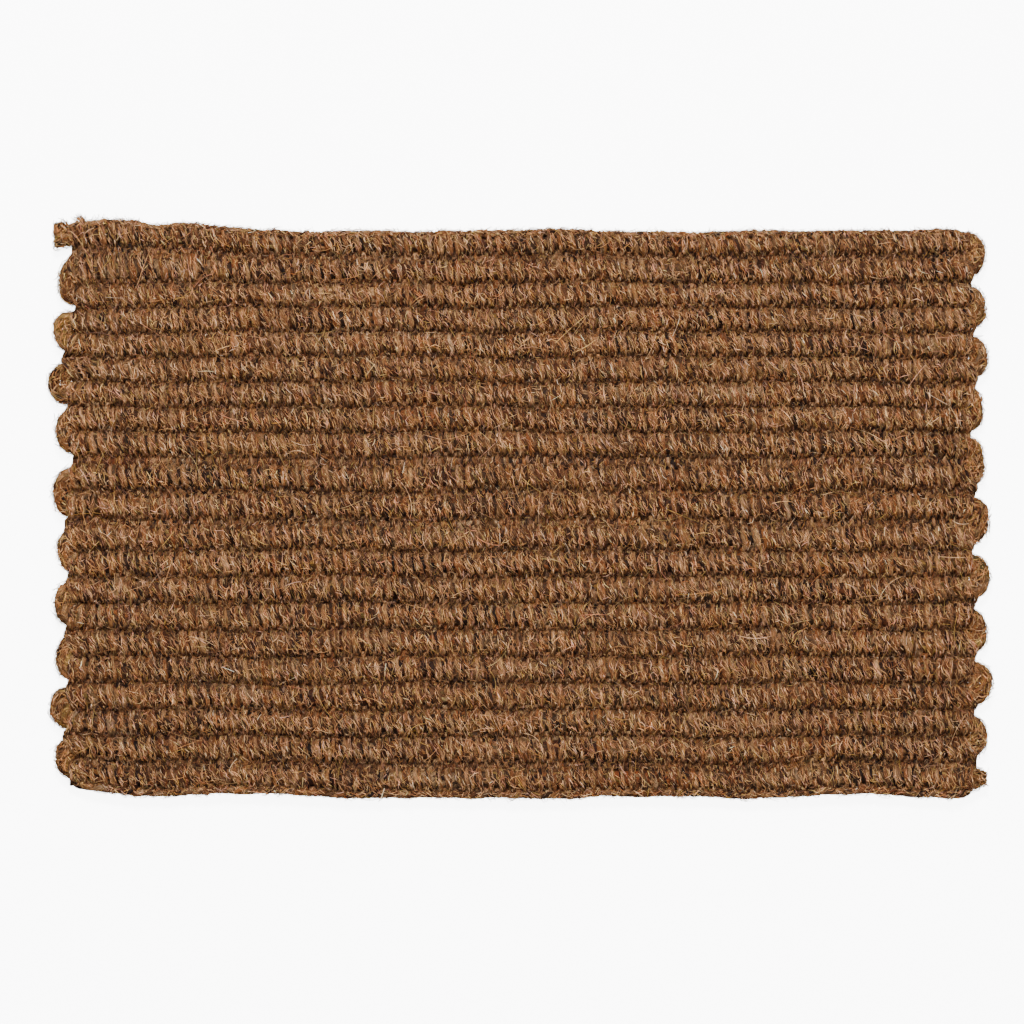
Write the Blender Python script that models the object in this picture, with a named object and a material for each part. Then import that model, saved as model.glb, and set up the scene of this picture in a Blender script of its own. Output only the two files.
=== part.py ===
"""Ribbed coir door mat, about 80 x 50 cm, woven from thick and thin yarns.

X runs along the ribs (the long side), Y across them (the short side), +Z is up,
and the mat lies on z = 0 with the middle of its underside at the origin.

One thick rope is laid to and fro and makes every rib. Thin picks lie in the grooves
between its runs. Two sets of warp yarns run along Y: the face set goes over the rope and
under the picks, the back set goes under the rope and over the picks. Where they change
places they pass side by side, so each band of warp is wide on a rib and narrow in a groove.
"""

import math

import bpy

# ---------------------------------------------------------------- driving dimensions (metres)
RIB_COUNT = 21
RIB_PITCH = 0.0221            # usual distance from one rib to the next
PITCH_SWAY = 0.0008           # slow change of that distance down the mat
OPEN_GROOVES = {1: 0.003, 9: 0.007, 10: 0.003, 11: 0.0045, 20: 0.0035}   # extra width

BODY_HALF_LENGTH = 0.384      # half length of the woven body, without the rope's turns
THICKNESS = 0.022
TOP_OVERHANG = 0.0125         # from the first rib's middle to the end of the warp
EDGE_PICK_OFFSET = 0.011      # from the last rib's middle to the pick that binds the edge
EDGE_OVERHANG = 0.005         # from that pick to the end of the warp

ROPE_HALF_WIDTH = 0.0068      # squeezed by the warp inside the weave
ROPE_HALF_HEIGHT = 0.0070
TURN_SWELL = 0.0013           # how much fatter the bare rope is in a turn
TURN_REACH = 0.0105           # how far a turn's middle line stands out of the body
STUB_REACH = 0.014            # how far each cut end stands out of the body
ROPE_SIDES = 8
TURN_STEPS = 7

PICK_HALF_WIDTH = 0.0010
PICK_HALF_HEIGHT = 0.0016
PICK_SIDES = 6

BAND_COUNT = 10               # bands of face warp side by side
CREST_HALF_WIDTH = 0.0038     # flat top of a rib, half its width along Y
CREST_SHARE = 0.80            # share of the band pitch that a band covers on a rib
GROOVE_SHARE = 0.25           # share that it covers in a groove
CREST_THICKNESS = 0.0035      # warp layer on a rib
GROOVE_THICKNESS = 0.0024     # warp layer squeezed in a groove
GROOVE_DEPTH = 0.0046         # warp's middle line below the mat's middle in a groove
END_DEPTH = 0.0019            # the same at the warp's two ends

MID_Z = THICKNESS / 2
CREST_HEIGHT = MID_Z - CREST_THICKNESS / 2
BAND_PITCH = 2 * BODY_HALF_LENGTH / BAND_COUNT

COLOURS = {
    "coir_face_warp": (0.265, 0.135, 0.060, 1.0),
    "coir_back_warp": (0.235, 0.118, 0.052, 1.0),
    "coir_rib_rope": (0.300, 0.128, 0.045, 1.0),
    "coir_binder": (0.180, 0.086, 0.036, 1.0),
}
COIR_ROUGHNESS = 0.85


# ---------------------------------------------------------------- layout along Y
def groove_width(index):
    """Distance between rib number index and the next one."""
    sway = PITCH_SWAY * math.sin(2 * math.pi * (index - 1.5) / (RIB_COUNT - 1))
    return RIB_PITCH - sway + OPEN_GROOVES.get(index, 0.0)


def rib_lines():
    """The Y of each rib's middle line, first rib at the top, centred on the mat's box."""
    lines = [0.0]
    for index in range(1, RIB_COUNT):
        lines.append(lines[-1] - groove_width(index))
    top = lines[0] + TOP_OVERHANG
    bottom = lines[-1] - EDGE_PICK_OFFSET - EDGE_OVERHANG
    middle = (top + bottom) / 2
    return [y - middle for y in lines]


RIBS = rib_lines()
PICKS = [(a + b) / 2 for a, b in zip(RIBS, RIBS[1:])] + [RIBS[-1] - EDGE_PICK_OFFSET]


# ---------------------------------------------------------------- helpers
def clear_scene():
    for obj in list(bpy.data.objects):
        bpy.data.objects.remove(obj, do_unlink=True)


def coir_material(name):
    material = bpy.data.materials.new(name)
    material.use_nodes = True
    shader = material.node_tree.nodes["Principled BSDF"]
    shader.inputs["Base Color"].default_value = COLOURS[name]
    shader.inputs["Roughness"].default_value = COIR_ROUGHNESS
    shader.inputs["Metallic"].default_value = 0.0
    material.diffuse_color = COLOURS[name]
    return material


def loft(name, rings, material, smooth=False):
    """A closed solid through rings of the same number of points, capped at both ends."""
    sides = len(rings[0])
    points = [point for ring in rings for point in ring]
    faces = [tuple(reversed(range(sides)))]
    for ring in range(len(rings) - 1):
        start = ring * sides
        for side in range(sides):
            following = (side + 1) % sides
            faces.append((start + side, start + following,
                          start + sides + following, start + sides + side))
    last = (len(rings) - 1) * sides
    faces.append(tuple(range(last, last + sides)))

    mesh = bpy.data.meshes.new(name)
    mesh.from_pydata(points, [], faces)
    mesh.validate()
    if smooth:
        mesh.shade_smooth()
        mesh.set_sharp_from_angle(angle=math.radians(60))
    mesh.materials.append(material)
    obj = bpy.data.objects.new(name, mesh)
    bpy.context.scene.collection.objects.link(obj)
    return obj


# ---------------------------------------------------------------- the thick rope
def rope_stations():
    """Middle line of the rope as (x, y, heading, swell): runs to and fro with round turns."""
    stations = [(-BODY_HALF_LENGTH - STUB_REACH, RIBS[0], 0.0, TURN_SWELL),
                (-BODY_HALF_LENGTH - STUB_REACH / 3, RIBS[0], 0.0, TURN_SWELL)]
    for index, y in enumerate(RIBS):
        side = 1 if index % 2 == 0 else -1
        heading = 0.0 if side > 0 else -math.pi
        stations.append((-side * BODY_HALF_LENGTH, y, heading, 0.0))
        stations.append((side * BODY_HALF_LENGTH, y, heading, 0.0))
        if index == RIB_COUNT - 1:
            break
        half = (y - RIBS[index + 1]) / 2
        for step in range(1, TURN_STEPS):
            turn = math.pi * step / TURN_STEPS
            x = side * (BODY_HALF_LENGTH + TURN_REACH * math.sin(turn))
            along_x = side * TURN_REACH * math.cos(turn)
            along_y = -half * math.sin(turn)
            stations.append((x, y - half + half * math.cos(turn),
                             math.atan2(along_y, along_x), TURN_SWELL * math.sin(turn)))
    stations.append((BODY_HALF_LENGTH + STUB_REACH / 3, RIBS[-1], 0.0, TURN_SWELL))
    stations.append((BODY_HALF_LENGTH + STUB_REACH, RIBS[-1], 0.0, TURN_SWELL))
    return stations


def rope_ring(x, y, heading, swell):
    """Eight points around the rope, in the upright plane across its middle line."""
    across = (-math.sin(heading), math.cos(heading))
    ring = []
    for side in range(ROPE_SIDES):
        angle = 2 * math.pi * side / ROPE_SIDES
        out = (ROPE_HALF_WIDTH + swell) * math.cos(angle)
        up = (ROPE_HALF_HEIGHT + swell) * math.sin(angle)
        ring.append((x + across[0] * out, y + across[1] * out, MID_Z + up))
    return ring


def make_rope(material):
    rings = [rope_ring(*station) for station in rope_stations()]
    return loft("rib_rope", rings, material, smooth=True)


# ---------------------------------------------------------------- the thin picks
def make_pick(number, y, material):
    def ring(x):
        points = []
        for side in range(PICK_SIDES):
            angle = 2 * math.pi * side / PICK_SIDES
            points.append((x, y + PICK_HALF_WIDTH * math.cos(angle),
                           MID_Z + PICK_HALF_HEIGHT * math.sin(angle)))
        return points

    return loft(f"binder_pick_{number:02d}", [ring(-BODY_HALF_LENGTH), ring(BODY_HALF_LENGTH)],
                material)


# ---------------------------------------------------------------- the warp
def warp_stations():
    """Face warp from top to bottom as (y, height above the middle, thickness, width share)."""
    end_share = (CREST_SHARE + GROOVE_SHARE) / 2
    stations = [(RIBS[0] + TOP_OVERHANG, END_DEPTH, GROOVE_THICKNESS, end_share / 2)]
    for index, y in enumerate(RIBS):
        for offset in (CREST_HALF_WIDTH, -CREST_HALF_WIDTH):
            stations.append((y + offset, CREST_HEIGHT, CREST_THICKNESS, CREST_SHARE))
        pick = PICKS[index]
        extra = OPEN_GROOVES.get(index + 1, 0.0)
        offsets = (extra / 2, -extra / 2) if extra else (0.0,)
        for offset in offsets:
            stations.append((pick + offset, -GROOVE_DEPTH, GROOVE_THICKNESS, GROOVE_SHARE))
    stations.append((PICKS[-1] - EDGE_OVERHANG, -END_DEPTH, GROOVE_THICKNESS, GROOVE_SHARE))
    return stations


def make_band(name, centre, facing, material):
    """One band of warp: facing is 1 for the face set and -1 for the back set."""
    rings = []
    for y, height, thickness, share in warp_stations():
        half = share * BAND_PITCH / 2
        low_x, high_x = centre - half, centre + half
        if centre <= -BODY_HALF_LENGTH:
            low_x = centre
        if centre >= BODY_HALF_LENGTH:
            high_x = centre
        z = MID_Z + facing * height
        bottom, top = z - thickness / 2, z + thickness / 2
        rings.append([(low_x, y, bottom), (high_x, y, bottom), (high_x, y, top), (low_x, y, top)])
    return loft(name, rings, material)


def make_warp(face_material, back_material):
    for number in range(BAND_COUNT):
        centre = -BODY_HALF_LENGTH + (number + 0.5) * BAND_PITCH
        make_band(f"face_warp_band_{number + 1:02d}", centre, 1, face_material)
    for number in range(BAND_COUNT + 1):
        centre = -BODY_HALF_LENGTH + number * BAND_PITCH
        make_band(f"back_warp_band_{number + 1:02d}", centre, -1, back_material)


# ---------------------------------------------------------------- build
def build():
    clear_scene()
    materials = {name: coir_material(name) for name in COLOURS}
    make_rope(materials["coir_rib_rope"])
    for number, y in enumerate(PICKS, start=1):
        make_pick(number, y, materials["coir_binder"])
    make_warp(materials["coir_face_warp"], materials["coir_back_warp"])


build()
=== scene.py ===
"""Ribbed coir door mat: every yarn and fibre of the finished mat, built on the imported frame.

The weave follows the frame's pieces. The thick rope runs to and fro along X, thin picks lie
in the grooves between its runs, and two sets of paired warp yarns run along Y: the face set
over the rope and under the picks, the back set under the rope and over the picks.
"""

import math
from types import SimpleNamespace

import bpy
import numpy as np
from bpy.props import FloatProperty, FloatVectorProperty, IntProperty, PointerProperty
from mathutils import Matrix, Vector


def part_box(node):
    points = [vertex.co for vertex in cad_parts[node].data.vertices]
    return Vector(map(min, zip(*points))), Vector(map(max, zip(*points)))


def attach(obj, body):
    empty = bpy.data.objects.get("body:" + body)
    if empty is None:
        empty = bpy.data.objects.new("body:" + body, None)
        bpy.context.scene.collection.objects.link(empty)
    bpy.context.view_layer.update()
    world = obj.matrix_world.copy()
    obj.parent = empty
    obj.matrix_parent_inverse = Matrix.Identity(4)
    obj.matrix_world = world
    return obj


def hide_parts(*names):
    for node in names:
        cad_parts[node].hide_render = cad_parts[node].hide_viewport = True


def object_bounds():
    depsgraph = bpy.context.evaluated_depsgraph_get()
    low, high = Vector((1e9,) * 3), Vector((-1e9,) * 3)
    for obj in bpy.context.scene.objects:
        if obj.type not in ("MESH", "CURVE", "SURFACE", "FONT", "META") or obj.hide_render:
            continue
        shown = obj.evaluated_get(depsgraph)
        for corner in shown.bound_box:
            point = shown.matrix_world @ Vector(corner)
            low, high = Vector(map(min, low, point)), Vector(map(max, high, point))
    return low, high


bl_info = {
    "name": "Coir Door Mat",
    "version": (1, 0, 0),
    "blender": (4, 5, 0),
    "location": "View3D > Sidebar > Coir Mat",
    "description": "Weaves a ribbed coir door mat, yarn by yarn and fibre by fibre",
    "category": "Add Mesh",
}

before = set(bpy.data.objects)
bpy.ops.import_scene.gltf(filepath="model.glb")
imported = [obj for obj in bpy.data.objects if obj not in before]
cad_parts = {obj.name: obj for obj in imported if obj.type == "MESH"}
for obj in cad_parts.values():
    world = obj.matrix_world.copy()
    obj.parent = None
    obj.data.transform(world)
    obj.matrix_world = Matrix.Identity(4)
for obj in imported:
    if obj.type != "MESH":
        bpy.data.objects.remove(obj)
CAD_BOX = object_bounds()

MM = 0.001
FACE_BANDS = sorted(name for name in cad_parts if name.startswith("face_warp_band"))
BACK_BANDS = sorted(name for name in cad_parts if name.startswith("back_warp_band"))
PICK_NODES = sorted(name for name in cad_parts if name.startswith("binder_pick"))
ROPE_NODE = "rib_rope"
BARE_ROPE_HALF_WIDTH = 0.0081     # of the rope's solid where it sticks out of the weave
ROPE_HALF_WIDTH = 0.0068          # of the rope's solid inside the weave
TINT = "coir_tint"
LAY_MAP = "YarnLay"
BAKE_MAP = "OFBake"


# ---------------------------------------------------------------- the frame's lines
def pick_lines():
    """Y of every thin pick, from the top of the mat to the bottom."""
    lines = []
    for name in PICK_NODES:
        low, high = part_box(name)
        lines.append((low.y + high.y) / 2)
    return np.array(lines)


def rib_lines(picks):
    """Y of every rib: the rope starts on the first, and a pick lies midway to the next."""
    lines = [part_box(ROPE_NODE)[1].y - BARE_ROPE_HALF_WIDTH]
    for pick in picks[:-1]:
        lines.append(2 * pick - lines[-1])
    return np.array(lines)


PICKS = pick_lines()
RIBS = rib_lines(PICKS)
BODY_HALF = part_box(PICK_NODES[0])[1].x
MID_Z = (CAD_BOX[0].z + CAD_BOX[1].z) / 2
NOMINAL_HALF_PITCH = 0.0114       # past this, a groove is open and shows its pick's yarns


# ---------------------------------------------------------------- settings
def length_setting(name, description, default):
    return FloatProperty(name=name, description=description, default=default, unit="LENGTH")


def power_setting(name, description, default):
    return FloatProperty(name=name, description=description, default=default, unit="POWER")


def count_setting(name, description, default, least=0):
    return IntProperty(name=name, description=description, default=default, min=least)


def colour_setting(name, description, default):
    return FloatVectorProperty(name=name, description=description, default=default,
                               subtype="COLOR")


class CoirWeaveSettings(bpy.types.PropertyGroup):
    """Sizes of the warp, the rope and the picks."""

    pair_count: count_setting("Warp pairs", "Pairs of face warp side by side", 89, least=2)
    overhang: length_setting("Side overhang", "How far the outer warp passes the rope's runs",
                             3.8 * MM)
    yarn_wide: length_setting("Yarn half width", "Half width of a warp yarn on a rib", 1.85 * MM)
    yarn_pinched: length_setting("Pinched half width", "Half width of a warp yarn in a groove",
                                 1.25 * MM)
    yarn_high: length_setting("Yarn half height", "Half thickness of a warp yarn", 1.9 * MM)
    lean: length_setting("Lean", "How far a yarn leans sideways across a rib", 1.25 * MM)
    strand_count: count_setting("Rope strands", "Yarns in the thick rope", 6, least=3)
    strand_radius: length_setting("Rope strand radius", "Radius of one yarn of the rope",
                                  2.5 * MM)


class CoirFibreSettings(bpy.types.PropertyGroup):
    """Sizes and numbers of the fibres."""

    radius: length_setting("Fibre radius", "Usual radius of a clump of coir fibre", 0.24 * MM)
    shortest: length_setting("Shortest fibre", "Least length of a fibre on a yarn", 3.5 * MM)
    longest: length_setting("Longest fibre", "Greatest length of a fibre on a yarn", 7.5 * MM)
    face_per_rib: count_setting("Face fibres per yarn", "Fibres on each face yarn on each rib",
                                32, least=1)
    back_per_rib: count_setting("Back fibres per yarn", "Fibres on each back yarn on each rib",
                                2, least=1)
    face_hairs: count_setting("Face hairs", "Long loose hairs lying over the face", 2800)
    face_fuzz: count_setting("Face fuzz", "Short curled hairs standing out of the face", 16000)
    back_hairs: count_setting("Back hairs", "Loose hairs lying over the back", 1500)


class CoirColourSettings(bpy.types.PropertyGroup):
    """Colours of the coir."""

    russet: colour_setting("Russet", "Most common fibre colour", (0.405, 0.168, 0.064))
    tan: colour_setting("Tan", "Lighter fibre colour", (0.52, 0.270, 0.115))
    straw: colour_setting("Straw", "Golden fibre colour", (0.50, 0.306, 0.086))
    rose: colour_setting("Rose brown", "Pinkish fibre colour", (0.52, 0.234, 0.152))
    dark: colour_setting("Dark", "Dark husk colour", (0.105, 0.038, 0.015))
    pale: colour_setting("Pale", "Sun-bleached fibre colour", (0.76, 0.52, 0.32))
    ginger: colour_setting("Ginger", "Colour of the rope where it is bare",
                           (0.43, 0.175, 0.060))


class CoirStageSettings(bpy.types.PropertyGroup):
    """Floor, lights and camera."""

    floor_glow: FloatProperty(
        name="Floor glow", description="Brightness that the white floor adds", default=8.0)
    key_power: power_setting("Key light", "Power of the light over the top edge", 315.0)
    fill_power: power_setting("Fill light", "Power of the soft light overhead", 16.0)
    world_strength: FloatProperty(
        name="Room light", description="Strength of the even light of the room", default=0.43)
    camera_height: length_setting("Camera height", "Distance of the camera above the floor", 3.6)
    view_width: length_setting("View width", "Width of floor that the camera sees", 0.879)


# ---------------------------------------------------------------- lay of the whole mat
def ease(value):
    """From 0 to 1 with soft ends."""
    value = np.clip(value, 0, 1)
    return value * value * (3 - 2 * value)


def hump(value, middle, width):
    """1 at the middle, fading softly on both sides."""
    return np.exp(-((value - middle) / width) ** 2)


# Waves that make the ribs wander: length along X, length along Y, phase, and size in mm.
WANDER = ((0.31, 0.21, 0.4, 0.70), (0.17, 0.33, 2.1, 0.55), (0.083, 0.11, 4.0, 0.42),
          (0.047, 0.071, 1.3, 0.30), (0.029, 0.052, 5.2, 0.20))
TOP_EDGE = 11 * MM                # from the first rib's middle to the top edge
SHOULDER_X = -0.371               # left of this, the top edge slopes down
DIP_X = -0.309                    # the top edge has a dip here
HOLLOW_X = 0.285                  # the bottom edge is drawn in here
TUFT_X = -0.3735                  # the tuft on the first rib stands here


def settle(points):
    """Moves points of the straight weave to where the slack mat lies. The ribs wander a little.
    The first ones sag, but swell at their left end. The bottom edge is drawn in at its left
    corner and near its right end."""
    x, y = points[..., 0], points[..., 1]
    wander = np.zeros_like(x)
    for length_x, length_y, phase, size in WANDER:
        wander += size * MM * np.sin(math.tau * (x / length_x + y / length_y) + phase)
    sag = 0.9 * MM * ease((y - PICKS[-1]) / 0.02)
    sag += 2.2 * MM * ease((y - RIBS[4]) / (RIBS[0] - RIBS[4]))
    sag += 1.3 * MM * ease((y - RIBS[2]) / (RIBS[0] - RIBS[2]))
    at_top = np.clip((y - RIBS[0]) / TOP_EDGE, 0, 1)
    left = ease((-x - 0.18) / 0.17)
    swell = left * (7.0 * MM * ease((y - PICKS[1]) / 0.030) + 2.5 * MM * at_top)
    shoulder = 3.6 * MM * ease((SHOULDER_X - x) / 0.016) * (x > -BODY_HALF - 4 * MM)
    swell -= at_top * (shoulder + 5 * MM * hump(x, DIP_X, 0.016))
    at_bottom = ease((-y - 0.17) / 0.07)
    drawn_in = 7.5 * MM * ease((-x - 0.33) / 0.07) + 2.5 * MM * ease((-x - 0.16) / 0.06)
    drawn_in += 3.5 * MM * hump(x, HOLLOW_X, 0.045)
    settled = points.copy()
    settled[..., 1] = y + wander - sag + swell + drawn_in * at_bottom
    settled[..., 0] = x + 0.5 * MM * np.sin(math.tau * (y / 0.13 + x / 0.4))
    return settled


# ---------------------------------------------------------------- tubes
UP = np.array([0.0, 0.0, 1.0])
STRIP_WIDTH = 0.009               # width that the bake map's layout reckons with for a tube


def unit(vectors):
    """The same vectors, each 1 long."""
    return vectors / np.maximum(np.linalg.norm(vectors, axis=-1, keepdims=True), 1e-12)


def frames_along(centre, lead=UP):
    """Up and side vectors along each line: up leans towards lead, square to the line."""
    tangent = unit(np.gradient(centre, axis=-2))
    up = unit(lead - tangent * (lead * tangent).sum(-1, keepdims=True))
    return up, np.cross(up, tangent)


def tubes(centre, high, wide):
    """Tubes along the given lines, with their high side up."""
    up, side = frames_along(centre)
    return SimpleNamespace(centre=centre, up=up, side=side, high=high, wide=wide)


def tube_points(yarns, sides):
    """Ring after ring of points around each line, shape (lines, stations, sides, 3)."""
    angle = math.tau * np.arange(sides) / sides
    out = yarns.up[:, :, None] * (np.cos(angle)[:, None] * yarns.high[:, :, None, None])
    across = yarns.side[:, :, None] * (np.sin(angle)[:, None] * yarns.wide[:, :, None, None])
    return yarns.centre[:, :, None] + out + across


def tube_faces(lines, stations, sides):
    """Quads along each tube and one cap at each end, as corner lists and corner counts."""
    station, side = np.meshgrid(np.arange(stations - 1), np.arange(sides), indexing="ij")
    after = (side + 1) % sides
    quads = np.stack([station * sides + side, (station + 1) * sides + side,
                      (station + 1) * sides + after, station * sides + after], -1)
    quads = quads.reshape(-1, 4)
    start = np.arange(sides)
    end = (stations - 1) * sides + start[::-1]
    one = np.concatenate([quads.ravel(), start, end])
    counts = np.concatenate([np.full(len(quads), 4), [sides, sides]])
    offset = np.arange(lines)[:, None] * stations * sides
    return (offset + one).ravel(), np.tile(counts, lines)


def tube_maps(lines, stations, sides, pitch):
    """Two flat maps per corner: one lays the tubes side by side in a square, the other holds
    metres along the yarn and turns around it."""
    station, side = np.meshgrid(np.arange(stations - 1), np.arange(sides), indexing="ij")
    along = np.stack([station, station + 1, station + 1, station], -1).reshape(-1)
    around = np.stack([side, side, side + 1, side + 1], -1).reshape(-1)
    along = np.concatenate([along, np.zeros(sides), np.full(sides, stations - 1)])
    around = np.concatenate([around, np.arange(sides), np.arange(sides)[::-1]])
    lay = np.stack([np.tile(along * pitch, lines), np.tile(around / sides, lines)], -1)

    columns = round(math.sqrt(lines * STRIP_WIDTH / (pitch * stations)))
    columns = min(max(1, columns), lines)
    rows = math.ceil(lines / columns)
    line = np.arange(lines)[:, None]
    u = (line % columns + 0.04 + 0.92 * along / (stations - 1)) / columns
    v = (line // columns + 0.08 + 0.84 * around / sides) / rows
    return np.stack([u.ravel(), v.ravel()], -1), lay


def add_object(name, data, location=(0, 0, 0)):
    """A new object in the scene."""
    thing = bpy.data.objects.new(name, data)
    thing.location = location
    bpy.context.scene.collection.objects.link(thing)
    return thing


def join_blocks(blocks):
    """Points, corners, corner counts, tints and both maps of several blocks of tubes, as one
    array of each. A block has yarns, sides and tints."""
    joined = []
    first_point, done = 0, 0
    total = sum(len(block.yarns.centre) for block in blocks)
    for block in blocks:
        lines, stations = block.yarns.centre.shape[:2]
        ring = tube_points(block.yarns, block.sides)
        corners, counts = tube_faces(lines, stations, block.sides)
        pitch = np.linalg.norm(np.diff(block.yarns.centre[:1], axis=1), axis=-1).mean()
        bake, lay = tube_maps(lines, stations, block.sides, pitch)
        bake[:, 1] = (done + bake[:, 1] * lines) / total
        tints = np.broadcast_to(block.tints[:, :, None], ring.shape).reshape(-1, 3)
        points = settle(ring).reshape(-1, 3)
        joined.append((points, corners + first_point, counts, tints, bake, lay))
        first_point += len(points)
        done += lines
    return [np.concatenate(arrays) for arrays in zip(*joined)]


def write_mesh(name, blocks, material):
    """One object from several blocks of tubes, kept clear of the floor."""
    points, corners, counts, tints, bake, lay = join_blocks(blocks)
    points[:, 2] = np.maximum(points[:, 2], 0.15 * MM)
    mesh = bpy.data.meshes.new(name)
    mesh.vertices.add(len(points))
    mesh.vertices.foreach_set("co", points.astype(np.float32).ravel())
    mesh.loops.add(len(corners))
    mesh.loops.foreach_set("vertex_index", corners.astype(np.int32))
    starts = np.concatenate([[0], np.cumsum(counts)[:-1]])
    mesh.polygons.add(len(counts))
    mesh.polygons.foreach_set("loop_start", starts.astype(np.int32))
    for map_name, values in ((LAY_MAP, lay), (BAKE_MAP, bake)):
        layer = mesh.uv_layers.new(name=map_name)
        layer.uv.foreach_set("vector", values.astype(np.float32).ravel())
    mesh.update(calc_edges=True)
    mesh.shade_smooth()
    colours = mesh.color_attributes.new(TINT, "BYTE_COLOR", "POINT")
    rgba = np.ones((len(points), 4), np.float32)
    rgba[:, :3] = np.clip(tints, 0, 1)
    colours.data.foreach_set("color", rgba.ravel())
    mesh.materials.append(material)
    if mesh.validate():
        raise RuntimeError(f"{name} had faces that Blender had to mend")
    return add_object(name, mesh)


def place(piece, slot, *nodes):
    """Fixes a finished piece to the mat's one body."""
    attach(piece, "root")
    if nodes:
        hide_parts(*nodes)


# ---------------------------------------------------------------- colour
def fibre_colours(rng, count, shares):
    """One colour per fibre, drawn from the coir colours by their shares."""
    colours = bpy.context.scene.coir_colours
    names = list(shares)
    weight = np.array([shares[name] for name in names], float)
    palette = np.array([getattr(colours, name)[:] for name in names])
    chosen = palette[rng.choice(len(names), count, p=weight / weight.sum())]
    other = palette[rng.choice(len(names), count, p=weight / weight.sum())]
    mix = rng.uniform(0, 0.5, (count, 1))
    depth = 1 + rng.normal(0, 0.18, (count, 1)).clip(-0.3, 0.5)
    bright = np.exp(rng.normal(0.02, 0.50, (count, 1)).clip(-1.3, 0.65))
    return (chosen * (1 - mix) + other * mix) ** depth * bright


FACE_SHARES = {"russet": 0.35, "tan": 0.26, "straw": 0.13, "rose": 0.10, "dark": 0.13,
               "pale": 0.03}
HAIR_SHARES = {"russet": 0.30, "tan": 0.28, "straw": 0.18, "rose": 0.12, "dark": 0.09,
               "pale": 0.03}
ROPE_SHARES = {"ginger": 0.24, "russet": 0.24, "tan": 0.20, "straw": 0.12, "dark": 0.20}
CORE_SHARES = {"russet": 0.5, "tan": 0.15, "dark": 0.35}
# Yarn cores are deepened and darkened as painted shade, for the shadow in the gaps between the
# fibres over them.
CORE_DEPTH = 1.15
CORE_SHADE_BRIGHTNESS = 0.27
# Painted shade: fibres that lie low in the grooves are darkened, down to the tint left at the
# bottom of a groove.
DARKEST_GROOVE_SHADE = 0.64                       # tint left at the bottom of a groove
SIDE_SHADE = 0.45                 # tint lost by a fibre that lies against the next yarn
# How deep below the crest the painted shade of the grooves takes much of the tint.
GROOVE_SHADE_DEPTH = 7 * MM               # depth below the crest at which much of the tint is lost


# ---------------------------------------------------------------- warp
# From the middle of a rib to the middle of a groove: share of the way, share of the height.
RIB_PROFILE = ((0.0, 1.0), (0.30, 0.965), (0.55, 0.83), (0.74, 0.56), (0.86, 0.23),
               (0.94, -0.08), (1.0, -0.26))
CREST_RISE = 8.75 * MM
# How the warp's ends wrap the first rib and the pick under the last one, as (out, rise).
TOP_WRAP = ((5.0 * MM, -7.0 * MM), (7.2 * MM, -4.6 * MM), (7.8 * MM, -1.0 * MM),
            (7.6 * MM, 2.4 * MM), (6.4 * MM, 5.6 * MM), (3.9 * MM, 7.9 * MM))
EDGE_WRAP = ((1.0 * MM, -2.6 * MM), (1.8 * MM, -1.2 * MM), (1.6 * MM, 0.6 * MM),
             (0.4 * MM, 1.2 * MM), (-0.8 * MM, 1.2 * MM))
STATION_STEP = 3.2 * MM
FACE_SEED, BACK_SEED = 11, 12     # the warp and the fibres on it draw the same yarns
EYE_PULL = 4.5 * MM               # how far the outer yarns are drawn in at a turn of the rope
PICK_SPREAD = 0.35                # how far a pair opens over a pick; 1 is as far as on a rib
END_SPREAD = 0.75                 # and where it wraps the pick at the bottom edge
SPLAY = (0.125, 0.035)            # half distance in a pair when shut, and what opening adds
# How far the weave stands out over the pick at each groove that the rope passes by, in mm,
# from the top: left side, then right side.
SIDE_OUT = ((0.6, -1.5, 9, 4.5, 0.5, 7, 4.5, 7, 4.5, 8), (2.5, 4.5, 8, 2.5, 6, 4, 6, 6, 6, 7))


def smooth_line(points, per_span=8):
    """Catmull-Rom curve through the points."""
    points = np.array(points, float)
    padded = np.vstack([2 * points[0] - points[1], points, 2 * points[-1] - points[-2]])
    t = np.linspace(0, 1, per_span, endpoint=False)[:, None]
    curve = []
    for a, b, c, d in zip(padded, padded[1:], padded[2:], padded[3:]):
        curve.append(0.5 * (2 * b + (c - a) * t + (2 * a - 5 * b + 4 * c - d) * t ** 2
                            + (3 * b - a - 3 * c + d) * t ** 3))
    return np.vstack(curve + [points[-1:]])


def evenly(points, step):
    """The same line with points a fixed step apart."""
    run = np.concatenate([[0], np.cumsum(np.linalg.norm(np.diff(points, axis=0), axis=1))])
    count = max(2, int(round(run[-1] / step)) + 1)
    at = np.linspace(0, run[-1], count)
    return np.stack([np.interp(at, run, column) for column in points.T], -1)


def warp_line():
    """Side view of one face yarn: (y, rise above the mat's middle), top to bottom."""
    points = [(RIBS[0] + out, rise) for out, rise in TOP_WRAP]
    for index, rib in enumerate(RIBS):
        above = PICKS[index - 1] - rib if index else 0.0
        below = rib - PICKS[index]
        for share, height in reversed(RIB_PROFILE[:-1]):
            if above or not share:
                points.append((rib + share * min(above, NOMINAL_HALF_PITCH),
                               height * CREST_RISE))
        for share, height in RIB_PROFILE[1:-1]:
            points.append((rib - share * min(below, NOMINAL_HALF_PITCH), height * CREST_RISE))
        points.append((PICKS[index], RIB_PROFILE[-1][1] * CREST_RISE))
    points += [(PICKS[-1] - out, rise) for out, rise in EDGE_WRAP]
    return evenly(smooth_line(points), STATION_STEP)


WARP_LINE = warp_line()
WARP_Y, WARP_RISE = WARP_LINE.T
RIB_OF_STATION = np.abs(WARP_Y[:, None] - RIBS[None]).argmin(1)


def rib_noise(rng, count, size):
    """Slow random change along each yarn, one value at each rib, read at every station."""
    values = rng.normal(0, size, (count, len(RIBS)))
    at = np.interp(-WARP_Y, -RIBS, np.arange(len(RIBS)))
    low = np.floor(at).astype(int).clip(0, len(RIBS) - 2)
    part = at - low
    return values[:, low] * (1 - part) + values[:, low + 1] * part


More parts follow.
